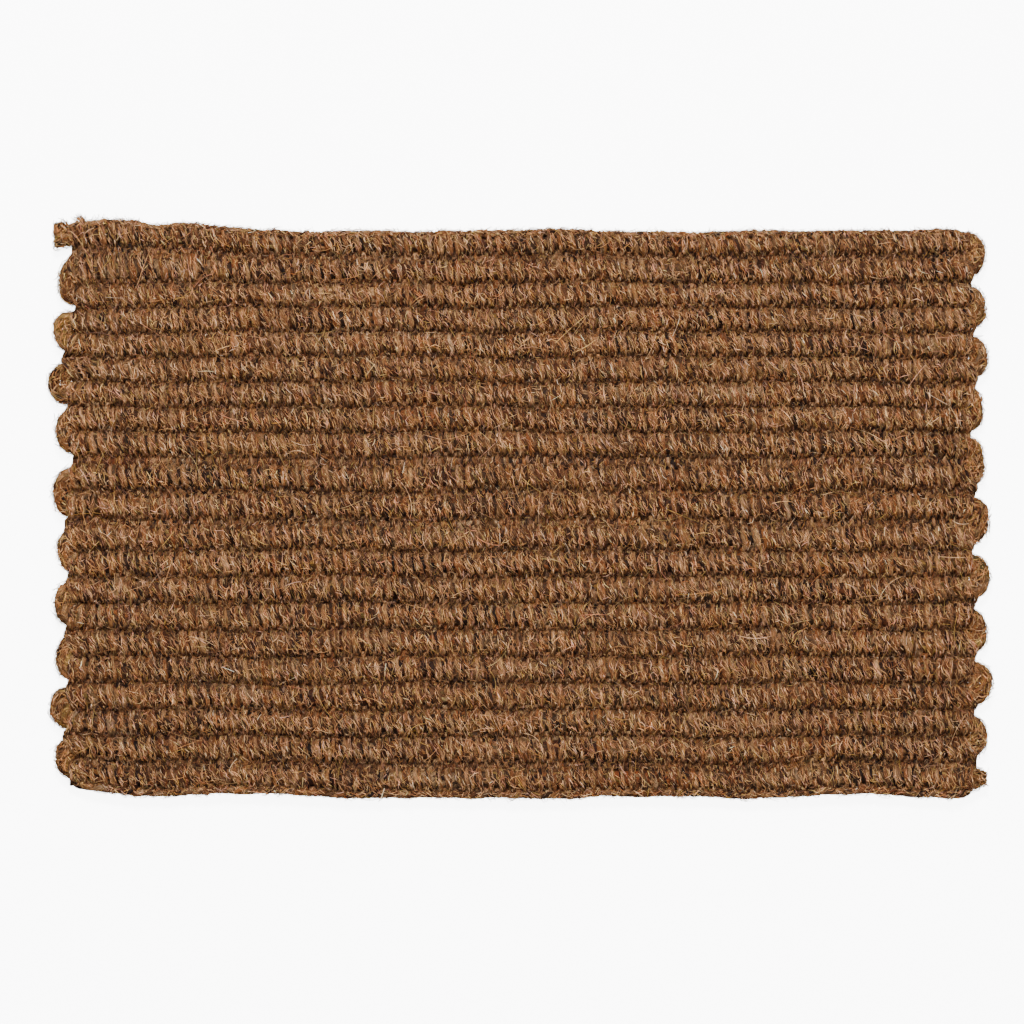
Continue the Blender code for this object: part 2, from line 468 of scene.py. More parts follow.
def turned_over(yarns):
    """The same yarns, turned half round about the mat's middle line along Y."""
    for name, middle in (("centre", MID_Z), ("up", 0.0), ("side", 0.0)):
        vectors = getattr(yarns, name)
        vectors[..., 0] *= -1
        vectors[..., 2] = 2 * middle - vectors[..., 2]
    return yarns


def pair_pitch():
    """Distance from one pair of warp yarns to the next of the same set."""
    weave = bpy.context.scene.coir_weave
    return 2 * (BODY_HALF + weave.overhang) / weave.pair_count


def weave_pairs(rng, columns):
    """Warp yarns in pairs at the given columns, as seen from their own face."""
    weave = bpy.context.scene.coir_weave
    columns = np.repeat(columns, 2)
    hand = np.tile([-1.0, 1.0], len(columns) // 2)
    count = len(columns)
    # The yarns spread on the ribs, over the picks and round both ends, from 0 to 1.
    crest = np.clip(WARP_RISE / CREST_RISE, 0, 1) ** 0.7
    dip = np.clip(WARP_RISE / CREST_RISE / RIB_PROFILE[-1][1], 0, 1) * PICK_SPREAD
    top_wrap = ease((WARP_Y - RIBS[0] - 3 * MM) / (3 * MM)) * ease(WARP_RISE / (6 * MM) + 1)
    edge_wrap = END_SPREAD * ease((PICKS[-1] - WARP_Y + 1 * MM) / (2 * MM))
    spread = np.max([crest, dip, top_wrap, edge_wrap], axis=0)
    splay = (SPLAY[0] + SPLAY[1] * spread) * pair_pitch()
    pitch_here = np.maximum(np.gradient(np.sort(RIBS))[::-1][RIB_OF_STATION], 0.02)
    swing = -np.sin(math.tau * (WARP_Y - RIBS[RIB_OF_STATION]) / pitch_here)
    lean = weave.lean * (1 + rib_noise(rng, count, 0.45))
    x = columns[:, None] + hand[:, None] * splay + lean * swing
    x += rib_noise(rng, count, 0.38 * MM) + rng.normal(0, 0.2 * MM, (count, 1))
    y = WARP_Y + rib_noise(rng, count, 0.35 * MM)
    rise = WARP_RISE * (1 + rib_noise(rng, count, 0.025)) + rng.normal(0, 0.15 * MM, (count, 1))
    centre = np.stack([x, y, MID_Z + rise], -1)
    # Frames along each yarn, with the side square to it and as near to X as can be.
    tangent = unit(np.gradient(centre, axis=-2))
    side = unit(np.array([1.0, 0, 0]) - tangent * tangent[..., :1])
    up = np.cross(tangent, side)
    wide = weave.yarn_pinched + (weave.yarn_wide - weave.yarn_pinched) * spread
    wide = wide * (1 + rib_noise(rng, count, 0.09))
    high = (weave.yarn_high - 0.7 * MM * (1 - crest)) * (1 + rib_noise(rng, count, 0.08))
    return SimpleNamespace(centre=centre, up=up, side=side, high=high, wide=wide,
                           column=columns)


def face_columns():
    """X of each pair of face warp."""
    weave = bpy.context.scene.coir_weave
    return -BODY_HALF - weave.overhang + (np.arange(weave.pair_count) + 0.5) * pair_pitch()


def back_columns():
    """X of each pair of back warp, midway between two pairs of face warp."""
    columns = face_columns()
    return (columns[1:] + columns[:-1]) / 2


def shape_sides(centre):
    """Draws the outermost yarns in where the rope turns, which leaves an eye in each turn, and
    lets them out at the groove between two turns."""
    x, y = centre[..., 0], centre[..., 1]
    shift = np.zeros_like(x)
    for index, pick in enumerate(PICKS[:-1]):
        side = 1 if index % 2 == 0 else -1
        near = hump(y, pick, 5.5 * MM)
        edge = np.exp(-np.maximum(BODY_HALF - side * x, 0) / (8 * MM)) * (side * x > 0)
        shift -= side * EYE_PULL * near * edge
        near = hump(y, pick, 9 * MM)
        edge = np.exp(-np.maximum(BODY_HALF + side * x, 0) / (22 * MM)) * (side * x < 0)
        shift -= side * (SIDE_OUT[index % 2][index // 2] - 3) * MM * near * edge
    x += shift


def warp_set(rng, facing):
    """All face yarns (facing 1) or all back yarns (facing -1)."""
    if facing > 0:
        yarns = weave_pairs(rng, face_columns())
    else:
        yarns = turned_over(weave_pairs(rng, back_columns()))
        yarns.column = -yarns.column
    shape_sides(yarns.centre)
    return yarns


def some(yarns, keep):
    """The yarns that keep picks out."""
    return SimpleNamespace(**{name: values[keep] for name, values in vars(yarns).items()})


# ---------------------------------------------------------------- fibres on yarns
FIBRE_STATIONS = 3                # points along a fibre that is wrapped round a yarn
FIBRE_CURL = 0.30                 # usual sideways bow of such a fibre, in radians
END_LIFT = 0.50 * MM              # how far its ends usually stand off
STAND_OFF = 0.17 * MM             # and its middle


def sample(values, line, at):
    """Values of each line read at fractional stations."""
    low = np.floor(at).astype(int).clip(0, values.shape[1] - 2)
    part = (at - low).clip(0, 1)
    line = line[:, None]
    first, second = values[line, low], values[line, low + 1]
    if values.ndim == 3:
        part = part[..., None]
    return first * (1 - part) + second * part


def fibre_radii(rng, count):
    """Radii spread about the usual one."""
    radius = bpy.context.scene.coir_fibres.radius
    return radius * np.exp(rng.normal(0, 0.28, count))


def wrapped_fibres(rng, yarns, line, start, length, turn, twist, thickness=1.0, fluff=1.0):
    """Fibres laid round yarns. start is a station, length is in stations, turn is the angle
    from the yarn's outer side and twist how far the fibre goes round, in radians. fluff
    scales how far it stands off."""
    count = len(line)
    radius = thickness * fibre_radii(rng, count)
    share = np.linspace(0, 1, FIBRE_STATIONS)[None]
    at = start[:, None] + length[:, None] * share
    at = at.clip(0, yarns.centre.shape[1] - 1.001)
    curl = rng.normal(0, FIBRE_CURL, (count, 1)) * np.sin(math.pi * share)
    angle = turn[:, None] + twist[:, None] * (share - 0.5) + curl
    angle = angle + rng.normal(0, 0.10, (count, FIBRE_STATIONS))
    end_lift = np.abs(rng.normal(0, END_LIFT * fluff, (count, 2)))
    end_lift = end_lift[:, :1] * share ** 3 + end_lift[:, 1:] * (1 - share) ** 3
    loose = np.abs(rng.normal(0, STAND_OFF * fluff, (count, 1))) + 0.02 * MM + end_lift
    high = sample(yarns.high, line, at) + loose
    wide = sample(yarns.wide, line, at) + loose
    up, side = sample(yarns.up, line, at), sample(yarns.side, line, at)
    centre = sample(yarns.centre, line, at)
    centre = centre + up * (np.cos(angle) * high)[..., None]
    centre = centre + side * (np.sin(angle) * wide)[..., None]
    centre = centre + rng.normal(0, 0.09 * MM, centre.shape)
    lead = unit(up * np.cos(angle)[..., None] + side * np.sin(angle)[..., None])
    fibre_up, fibre_side = frames_along(centre, lead)
    thin = 1 - 0.4 * (2 * np.abs(share - 0.5)) ** 2
    thick = radius[:, None] * thin
    return SimpleNamespace(centre=centre, up=fibre_up, side=fibre_side, high=0.8 * thick,
                           wide=thick, shade=1 - SIDE_SHADE * np.sin(angle) ** 2)


def fibre_tints(rng, count, stations, shares):
    """Tint along each fibre, a little uneven."""
    colour = fibre_colours(rng, count, shares)[:, None]
    uneven = np.exp(rng.normal(0, 0.08, (count, stations, 1)))
    return colour * uneven


def wind(rng, length, radius, mean, spread, most):
    """How far round fibres of the given lengths go on yarns of the given radius. Their slope
    against the yarn is drawn about the mean, all angles in radians."""
    return (length / radius * np.tan(rng.normal(mean, spread, len(length)))).clip(-most, most)


def rib_fibres(rng, yarns, rib, per_yarn):
    """Fibres over one rib, on every yarn given."""
    fibres = bpy.context.scene.coir_fibres
    here = np.flatnonzero(RIB_OF_STATION == rib)
    line = np.repeat(np.arange(len(yarns.centre)), per_yarn)
    count = len(line)
    length = rng.uniform(fibres.shortest, fibres.longest, count) / STATION_STEP
    span = here[-1] - here[0]
    start = here[0] + rng.uniform(-0.05, 1.0, count) * span - length / 2
    turn = rng.normal(0, 0.75, count)
    twist = wind(rng, length * STATION_STEP, 2.0 * MM, 0.34, 0.34, 2.6)
    return wrapped_fibres(rng, yarns, line, start, length, turn, twist)


def groove_fibres(rng, yarns, per_yarn):
    """Fibres on the short bumps where the other set of yarns crosses the picks."""
    line = np.repeat(np.arange(len(yarns.centre)), per_yarn * len(PICKS))
    pick = np.tile(np.repeat(np.arange(len(PICKS)), per_yarn), len(yarns.centre))
    count = len(line)
    from_pick = np.abs(WARP_Y[None] - PICKS[:, None]) + np.maximum(WARP_RISE, 0)
    middle = from_pick.argmin(1)[pick]
    length = rng.uniform(4 * MM, 8 * MM, count) / STATION_STEP
    start = middle - length / 2 + rng.normal(0, 0.5, count)
    turn = math.pi + rng.normal(0, 0.6, count)
    twist = wind(rng, length * STATION_STEP, 1.6 * MM, -0.35, 0.40, 2)
    return wrapped_fibres(rng, yarns, line, start, length, turn, twist)


# ---------------------------------------------------------------- loose hairs
ALONG_WEAVE = 0.35                # share of the hairs that lie the way the yarns lean
LEAN_HEADING = -1.2               # that way, in radians from X
HAIR_BEND = 0.36                  # usual bend of a hair over its length, in radians
LONG_HAIR = {"usual": 15 * MM, "longest": 36 * MM, "lift": 0.9 * MM, "thickness": 0.80,
             "stations": 7}
SHORT_HAIR = {"usual": 5.0 * MM, "longest": 10 * MM, "lift": 0.6 * MM, "thickness": 0.85,
              "stations": 3}


def cover_height(y):
    """Height of the face's outer surface above the mat's middle, bridging the grooves."""
    order = np.argsort(-WARP_Y)
    rise = np.interp(-y, -WARP_Y[order], WARP_RISE[order])
    return np.maximum(rise, 0.30 * CREST_RISE)


def loose_hairs(rng, count, facing, usual, longest, lift, thickness, stations):
    """Single hairs lying over a face (facing 1 or -1), each with its own curve. usual and
    longest are lengths, and lift is how far the ends usually stand off."""
    half = BODY_HALF + 1 * MM
    x = rng.uniform(-half, half, count)
    y = rng.uniform(PICKS[-1] - 2 * MM, RIBS[0] + 9 * MM, count)
    heading = rng.uniform(0, math.tau, count)
    along = rng.random(count) < ALONG_WEAVE
    heading = np.where(along, rng.normal(LEAN_HEADING, 0.4, count), heading)
    length = rng.gamma(3.2, usual / 3.2, count).clip(usual / 3, longest)
    bend = rng.normal(0, HAIR_BEND, count) + rng.choice([-0.15, 0.15], count)
    share = np.linspace(0, 1, stations)[None]
    angle = heading[:, None] + bend[:, None] * (share - 0.5) * 2
    step = length[:, None] / (stations - 1)
    along_x, along_y = np.cos(angle) * step, np.sin(angle) * step
    px = x[:, None] + np.cumsum(along_x, 1) - along_x.sum(1, keepdims=True) / 2
    py = y[:, None] + np.cumsum(along_y, 1) - along_y.sum(1, keepdims=True) / 2
    px = np.clip(px, -half - 3 * MM, half + 3 * MM)
    py = np.clip(py, PICKS[-1] - 8 * MM, RIBS[0] + 13 * MM)
    weave = bpy.context.scene.coir_weave
    rise = cover_height(py) + weave.yarn_high + rng.uniform(0.0, 0.7, (count, 1)) * MM
    # Both ends stand off the face, and the ends that pass the mat's edge hang down over it.
    lifted = np.abs(rng.normal(0, lift, (count, 2)))
    rise = rise + lifted[:, :1] * share ** 3 + lifted[:, 1:] * (1 - share) ** 3
    smooth = rise.copy()
    smooth[:, 1:-1] = (rise[:, :-2] + 2 * rise[:, 1:-1] + rise[:, 2:]) / 4
    over = np.maximum(np.abs(px) - half, 0)
    over = over + np.maximum(py - RIBS[0] - 8 * MM, 0) + np.maximum(PICKS[-1] + 2 * MM - py, 0)
    smooth = smooth - over * 0.9
    centre = np.stack([px, py, MID_Z + facing * smooth], -1)
    thick = thickness * fibre_radii(rng, count)[:, None] * (1 - 0.5 * (2 * share - 1) ** 2)
    return tubes(centre, thick, thick)


def corner_tuft(rng, count=110):
    """The small tuft that stands up at the left end of the first rib."""
    share = np.linspace(0, 1, 4)[None]
    heading = rng.normal(2.0, 0.5, count)[:, None]
    reach = rng.uniform(4 * MM, 9 * MM, count)[:, None] * share
    x = TUFT_X + rng.normal(0, 1.6 * MM, (count, 1)) + reach * np.cos(heading + 0.5 * share)
    y = RIBS[0] + 8.5 * MM + rng.normal(0, 1.0 * MM, (count, 1)) + reach * np.sin(heading)
    rise = 5.5 * MM + rng.normal(0, 1.0 * MM, (count, 1)) - 1.5 * MM * share ** 2
    thick = fibre_radii(rng, count)[:, None] * (1 - 0.4 * share)
    return tubes(np.stack([x, y, MID_Z + rise], -1), thick, thick)


# ---------------------------------------------------------------- rope
TURN_STATIONS = 12
RUN_STATIONS = 24
ROPE_STEP = 2.6 * MM
STUB_REACH = 14 * MM
# How far each turn stands out of the rope's runs, and how far its tip lies from its middle
# towards the top of the mat, both in mm, from the top: right side, then left side.
TURN_OUT = ((14.5, 14.5, 17, 12.5, 12.5, 17.5, 19.5, 15.5, 20.5, 15.5),
            (11.5, 17.5, 20.5, 14, 16.5, 12.5, 16.5, 14, 18.5, 15))
TURN_TIP = ((3, -3, 0, -2, 0, 2, 0, -3, 1, 0), (-2, 3, -2, 1, 0, 4, -1, 0, 3, -2))
TURN_HALF_WIDTH = 7.8 * MM
TURN_ROUNDNESS = 0.72             # less makes the turns squarer
LAY_LENGTH = 0.085                # length of rope in which its strands go round once
ROPE_FIBRES = 9                   # fibres at each station of each bare strand
STRANDS_OUT = 5.4 * MM            # how far the strands lie from the rope's middle, sideways
STRANDS_UP = 3.9 * MM             # and upwards


def rope_line():
    """Middle line of the rope as (x, y, half width), and how bare it is there, from 0 to 1."""
    points, bare = [], []
    for index, y in enumerate(RIBS):
        side = 1 if index % 2 == 0 else -1
        first = -side * BODY_HALF - (STUB_REACH * side if index == 0 else 0)
        last = side * BODY_HALF + (STUB_REACH * side if index == len(RIBS) - 1 else 0)
        for x in np.linspace(first, last, RUN_STATIONS):
            points.append((x, y, TURN_HALF_WIDTH))
            bare.append(0.0)
        if index == len(RIBS) - 1:
            break
        half = (y - RIBS[index + 1]) / 2
        out = TURN_OUT[index % 2][index // 2] * MM
        tip = TURN_TIP[index % 2][index // 2] * MM
        wide = TURN_HALF_WIDTH + 0.45 * max(out - 14 * MM, 0)
        for turn in np.linspace(0, math.pi, TURN_STATIONS + 2)[1:-1]:
            reach = math.sin(turn) ** TURN_ROUNDNESS
            points.append((side * (BODY_HALF + (out - wide) * reach),
                           y - half + half * math.cos(turn) + tip * math.sin(turn), wide))
            bare.append(math.sin(turn))
    return np.array(points), np.array(bare)


def refine_ends(points, bare, reach=24 * MM):
    """Close stations on the turns and the last of each run, wide ones inside the weave."""
    steps = np.linalg.norm(np.diff(points[:, :2], axis=0), axis=1)
    run = np.concatenate([[0], np.cumsum(steps)])
    fine = np.arange(0, run[-1], ROPE_STEP)
    x = np.interp(fine, run, points[:, 0])
    near_end = np.abs(x) > BODY_HALF - reach
    keep = near_end | (np.arange(len(fine)) % 8 == 0)
    at = np.append(fine[keep], run[-1])
    return (np.stack([np.interp(at, run, column) for column in points.T], -1),
            np.interp(at, run, bare), at)


def rope_strands():
    """The rope's yarns, wound round its middle line, and drawn out upright in its turns."""
    weave = bpy.context.scene.coir_weave
    points, bare, run = refine_ends(*rope_line())
    count = weave.strand_count
    middle = np.column_stack([points[:, :2], np.full(len(points), MID_Z)])
    up, side = frames_along(middle[None])
    strand = np.arange(count)[:, None]
    phase = math.tau * strand / count + run[None] * math.tau / LAY_LENGTH
    uneven = 1 + 0.12 * np.sin(run[None] / 0.019 + strand * 2.3)
    # Both cut ends are swollen where they leave the weave, and the last one tapers.
    first_end = ease(run / (1 * MM))
    last_end = ease((run[-1] - run) / (9 * MM)) ** 0.6
    stub = ease((STUB_REACH + 3 * MM - run) / (4 * MM))
    stub = stub + ease((run - run[-1] + STUB_REACH + 3 * MM) / (6 * MM))
    swell = (1 + 0.24 * stub) * (0.9 + 0.1 * first_end) * (0.50 + 0.50 * last_end)
    # Strands lie flat inside the weave, and open out upright in the turns.
    wider = points[:, 2] - TURN_HALF_WIDTH
    out = (STRANDS_OUT + (wider - 0.6 * MM) * bare) * uneven * swell
    lift = (STRANDS_UP + 1.4 * MM * bare) * uneven * swell
    centre = middle[None] + side * (np.cos(phase) * out)[..., None]
    centre = centre + up * (np.sin(phase) * lift)[..., None]
    size = weave.strand_radius * (0.7 + 0.3 * last_end)[None] * np.ones((count, 1))
    return tubes(centre, size, size), points


def rope_heart():
    """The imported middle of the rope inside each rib, which no light passes."""
    x = np.arange(-BODY_HALF + 4 * MM, BODY_HALF - 4 * MM, 11 * MM)
    x = np.tile(x, (len(RIBS), 1))
    x[0, 0] = -BODY_HALF - STUB_REACH + 1.5 * MM
    x[-1, -1] = BODY_HALF + 3 * MM
    centre = np.stack([x, np.broadcast_to(RIBS[:, None], x.shape), np.full(x.shape, MID_Z)], -1)
    return tubes(centre, np.full(x.shape, 5.5 * MM), np.full(x.shape, 7.6 * MM))


def rope_fibres(rng, yarns, points):
    """Fibres on the bare stretches of the rope."""
    shown = np.flatnonzero(np.abs(points[:-1, 0]) > BODY_HALF - 8 * MM)
    line = np.repeat(np.arange(len(yarns.centre)), len(shown) * ROPE_FIBRES)
    spot = np.tile(np.repeat(shown, ROPE_FIBRES), len(yarns.centre)).astype(float)
    count = len(line)
    length = rng.uniform(3 * MM, 8 * MM, count) / ROPE_STEP
    start = spot + rng.uniform(-0.5, 0.5, count) - length / 2
    turn = rng.uniform(0, math.tau, count)
    radius = bpy.context.scene.coir_weave.strand_radius
    twist = wind(rng, length * ROPE_STEP, radius, 0.45, 0.75, 3)
    return wrapped_fibres(rng, yarns, line, start, length, turn, twist, thickness=1.2,
                          fluff=3.6)


# ---------------------------------------------------------------- picks
def thin_picks(rng):
    """The thin yarns in the grooves, passing over and under the pairs of warp."""
    pitch = pair_pitch()
    count = len(PICKS)
    share = np.linspace(-1, 1, round(6 * BODY_HALF / pitch))
    out = np.zeros(count)
    out[:-1] = [(SIDE_OUT[index % 2][index // 2] - 0.5) * MM for index in range(count - 1)]
    # The side where the rope passes the groove by, and so the weave stands out over the pick.
    passed = np.where(np.arange(count) % 2 == 0, -1, 1)[:, None]
    x = share[None] * (BODY_HALF - 0.5 * MM)
    x = x + passed * out[:, None] * ease((share[None] * passed - 0.9) / 0.1)
    rise = 0.5 * MM * np.sin(math.tau * (x + BODY_HALF) / pitch)
    y = PICKS[:, None] + 0.3 * MM * np.sin(x / (11 * MM) + np.arange(count)[:, None])
    centre = np.stack([x, y, MID_Z + rise], -1)
    half_groove = np.append((RIBS[:-1] - RIBS[1:]) / 2, 0)
    wide = np.maximum(half_groove - ROPE_HALF_WIDTH + 0.8 * MM, 3.6 * MM)
    wide[-1] = 4.8 * MM
    uneven = 1 + rng.normal(0, 0.05, centre.shape[:2])
    # Both ends of a pick are slimmer.
    tip = 0.45 + 0.55 * ease((1 - np.abs(share[None])) / 0.012)
    return tubes(centre, 1.5 * MM * uneven * tip, wide[:, None] * uneven * tip)


def edge_cords(rng):
    """Two thin strands twisted along each long edge, which bind the ends of the warp."""
    count = round(2 * BODY_HALF / STATION_STEP)
    x = np.linspace(-BODY_HALF, BODY_HALF + 1 * MM, count)
    right_end = ease((x - BODY_HALF + 13 * MM) / (14 * MM))
    left_end = ease((-x - BODY_HALF + 16 * MM) / (16 * MM))
    slim = 1 - 0.5 * ease((np.abs(x) - BODY_HALF + 5 * MM) / (6 * MM))
    centres, sizes = [], []
    for y, rise, out, size, bend in (
            (RIBS[0] + 8.4 * MM, 5.2 * MM, 1.0 * MM, 1.4 * MM, -6.0 * MM * right_end),
            (PICKS[-1] - 1.2 * MM, 3.2 * MM, 1.7 * MM, 1.9 * MM,
             4.5 * MM * right_end + 6.5 * MM * left_end)):
        for strand in range(2):
            phase = -math.tau * x / (17.4 * MM) + math.pi * strand
            lie = y + bend + out * slim * np.cos(phase) + rng.normal(0, 0.25 * MM, count)
            centres.append(np.stack([x, lie, MID_Z + rise + out * np.sin(phase)], -1))
            sizes.append(size * slim * (1 + rng.normal(0, 0.13, count)))
    return tubes(np.array(centres), np.array(sizes), np.array(sizes))


def cord_fibres(rng, cords):
    """Fibres wrapped round the edge cords."""
    stations = cords.centre.shape[1]
    line = np.repeat(np.arange(len(cords.centre)), stations * 8)
    count = len(line)
    length = rng.uniform(3 * MM, 7 * MM, count) / STATION_STEP
    start = rng.uniform(-1, stations, count) - length / 2
    turn = rng.uniform(0, math.tau, count)
    twist = wind(rng, length * STATION_STEP, 1.8 * MM, -0.5, 0.7, 3)
    return wrapped_fibres(rng, cords, line, start, length, turn, twist, fluff=3.2)


def pick_fibres(rng, picks):
    """Fibres along the top of the thin picks, seen in the wider grooves."""
    stations = picks.centre.shape[1]
    line = np.repeat(np.arange(len(picks.centre)), stations)
    count = len(line)
    step = 2 * BODY_HALF / stations
    length = rng.uniform(4 * MM, 10 * MM, count) / step
    start = rng.uniform(0, stations, count) - length / 2
    turn = rng.normal(0, 0.7, count)
    twist = rng.normal(0, 0.8, count)
    return wrapped_fibres(rng, picks, line, start, length, turn, twist, fluff=2.0)


# ---------------------------------------------------------------- material
def add_node(tree, kind, location, **values):
    """A new node at a place in the node editor, with the given settings."""
    node = tree.nodes.new(kind)
    node.location = location
    for name, value in values.items():
        setattr(node, name, value)
    return node


def noise(tree, location, vector, scale, detail):
    """Soft noise from 0 to 1 at the given places."""
    node = add_node(tree, "ShaderNodeTexNoise", location)
    node.inputs["Scale"].default_value = scale
    node.inputs["Detail"].default_value = detail
    tree.links.new(vector, node.inputs["Vector"])
    return node.outputs["Fac"]


def ranged(tree, location, value, low, high, to_low, to_high):
    """The value from low to high, spread from to_low to to_high."""
    node = add_node(tree, "ShaderNodeMapRange", location)
    for socket, number in (("From Min", low), ("From Max", high),
                           ("To Min", to_low), ("To Max", to_high)):
        node.inputs[socket].default_value = number
    tree.links.new(value, node.inputs["Value"])
    return node.outputs["Result"]


def times(tree, location, first, second, plus=None):
    """First times second, and plus a third where it is given. Second may be a number."""
    node = add_node(tree, "ShaderNodeMath", location,
                    operation="MULTIPLY_ADD" if plus else "MULTIPLY")
    tree.links.new(first, node.inputs[0])
    if isinstance(second, float):
        node.inputs[1].default_value = second
    else:
        tree.links.new(second, node.inputs[1])
    if plus:
        tree.links.new(plus, node.inputs[2])
    return node.outputs["Value"]


def twisted_streaks(tree):
    """Noise drawn out along the fibres that wind round a yarn."""
    lay = add_node(tree, "ShaderNodeUVMap", (-1700, -450), uv_map=LAY_MAP)
    apart = add_node(tree, "ShaderNodeSeparateXYZ", (-1500, -450))
    tree.links.new(lay.outputs["UV"], apart.inputs["Vector"])
    along, around = apart.outputs["X"], apart.outputs["Y"]
    wound = times(tree, (-1350, -550), along, -28.0, plus=around)
    joined = add_node(tree, "ShaderNodeCombineXYZ", (-1050, -480))
    tree.links.new(times(tree, (-1200, -400), along, 150.0), joined.inputs["X"])
    tree.links.new(times(tree, (-1200, -550), wound, 26.0), joined.inputs["Y"])
    return noise(tree, (-900, -480), joined.outputs["Vector"], 1.0, 3.0)


def coir_material(name, streaks):
    """Coir: the tint on the mesh, broken up by grain, with a dry rough surface. The tint holds
    painted shade as well as the fibre's own colour. streaks adds the twisted fibres of a yarn's
    surface to a smooth yarn core, and darkens the crevices between them as painted shade."""
    material = bpy.data.materials.new(name)
    material.use_nodes = True
    tree = material.node_tree
    link = tree.links.new
    shader = tree.nodes["Principled BSDF"]
    shader.inputs["Specular IOR Level"].default_value = 0.15

    tint = add_node(tree, "ShaderNodeVertexColor", (-900, 300), layer_name=TINT)
    place_on = add_node(tree, "ShaderNodeTexCoord", (-1300, 0)).outputs["Object"]
    grain = noise(tree, (-1000, 50), place_on, 1400.0, 2.0)
    patches = noise(tree, (-1000, -200), place_on, 34.0, 2.0)
    shade = times(tree, (-600, -50), ranged(tree, (-800, 50), grain, 0.3, 0.7, 0.52, 1.42),
                  ranged(tree, (-800, -200), patches, 0.3, 0.7, 0.86, 1.12))
    height = grain
    if streaks:
        height = twisted_streaks(tree)
        # Partly painted shade: the streaks darken the yarn where their bump is low, as shade in
        # the crevices between wound fibres, besides giving streaky fibre tone.
        shade = times(tree, (-450, -200), shade,
                      ranged(tree, (-700, -480), height, 0.35, 0.65, 0.12, 1.35))

    scaled = add_node(tree, "ShaderNodeVectorMath", (-300, 200), operation="SCALE")
    link(tint.outputs["Color"], scaled.inputs[0])
    link(shade, scaled.inputs["Scale"])
    link(scaled.outputs["Vector"], shader.inputs["Base Color"])
    link(ranged(tree, (-450, -380), grain, 0.0, 1.0, 0.62, 0.92), shader.inputs["Roughness"])

    bump = add_node(tree, "ShaderNodeBump", (-250, -300))
    bump.inputs["Strength"].default_value = 0.6
    bump.inputs["Distance"].default_value = 0.4 * MM
    link(height, bump.inputs["Height"])
    link(bump.outputs["Normal"], shader.inputs["Normal"])
    return material


def material_named(name, streaks=False):
    """The material of that name, made when it is first asked for."""
    return bpy.data.materials.get(name) or coir_material(name, streaks)


# ---------------------------------------------------------------- blocks of tubes
def shaded_core_tints(rng, yarns, shares, patch=6):
    """Tints for the bare yarns under the fibres, deepened and darkened as painted shade for the
    gaps between the fibres over them, in a new colour every few stations.
    """
    lines, stations = yarns.centre.shape[:2]
    patches = math.ceil(stations / patch)
    colours = fibre_colours(rng, lines * patches, shares).reshape(lines, patches, 3)
    return np.repeat(colours, patch, axis=1)[:, :stations] ** CORE_DEPTH * CORE_SHADE_BRIGHTNESS


def painted_groove_shade(fibres):
    """How dark each fibre is painted, as the shade that falls in the grooves: less than 1 below
    the crest of the ribs.
    """
    top = CREST_RISE + bpy.context.scene.coir_weave.yarn_high
    depth = top - np.abs(fibres.centre[..., 2] - MID_Z)
    return np.exp(-np.maximum(depth - 0.4 * MM, 0) / GROOVE_SHADE_DEPTH).clip(DARKEST_GROOVE_SHADE, 1)[..., None]


def dressed(rng, fibres, shares, groove_shaded=True):
    """A block of fibres with its tints, ready to be written to a mesh."""
    lines, stations = fibres.centre.shape[:2]
    tints = fibre_tints(rng, lines, stations, shares)
    # Painted shade: fibres that lie low in the grooves are darkened.
    if groove_shaded:
        tints = tints * painted_groove_shade(fibres)
    if hasattr(fibres, "shade"):
        tints = tints * fibres.shade[..., None]
    return SimpleNamespace(yarns=fibres, sides=3, tints=tints)


def part_of(block, keep):
    """The tubes of a block that keep picks out."""
    return SimpleNamespace(yarns=some(block.yarns, keep), sides=block.sides,
                           tints=block.tints[keep])


def near_ribs(block, ribs):
    """The part of a block that lies nearest to the given ribs."""
    y = block.yarns.centre[:, block.yarns.centre.shape[1] // 2, 1]
    return part_of(block, np.isin(np.abs(y[:, None] - RIBS).argmin(1), ribs))


def on_side(block, sign):
    """The part of a block in the left half (sign -1) or the right half (sign 1) of the mat."""
    return part_of(block, sign * block.yarns.centre[:, 0, 0] >= 0)


def core_block(rng, yarns, sides, shares):
    """A block of bare yarns with their tints darkened as painted shade."""
    return SimpleNamespace(yarns=yarns, sides=sides, tints=shaded_core_tints(rng, yarns, shares))


def write_bands(rng, yarns, order, name, slot, nodes):
    """Writes the warp in bands, one for each node. order lists the yarns from side to side,
    pair by pair."""
    block = core_block(rng, yarns, 5, CORE_SHARES)
    bands = np.array_split(order.reshape(-1, 2), len(nodes))
    for number, (pairs, node) in enumerate(zip(bands, nodes), start=1):
        piece = write_mesh(f"{name}_yarns_{number:02d}", [part_of(block, pairs.ravel())],
                           material_named(f"coir_yarn_{name}", streaks=True))
        place(piece, slot, node)


# ---------------------------------------------------------------- operators
class COIR_OT_face_warp(bpy.types.Operator):
    """Weave the face warp: pairs of yarn over the ribs, one piece for each band"""

    bl_idname = "coir.face_warp"
    bl_label = "Face Warp"

    def execute(self, context):
        rng = np.random.default_rng(FACE_SEED)
        yarns = warp_set(rng, 1)
        write_bands(rng, yarns, np.arange(len(yarns.centre)), "face", "coir_face_warp",
                    FACE_BANDS)
        return {"FINISHED"}


class COIR_OT_back_warp(bpy.types.Operator):
    """Weave the back warp: the other set of pairs, under the ribs and over the picks"""

    bl_idname = "coir.back_warp"
    bl_label = "Back Warp"

    def execute(self, context):
        rng = np.random.default_rng(BACK_SEED)
        yarns = warp_set(rng, -1)
        write_bands(rng, yarns, np.argsort(yarns.column, kind="stable"), "back",
                    "coir_back_warp", BACK_BANDS)
        return {"FINISHED"}


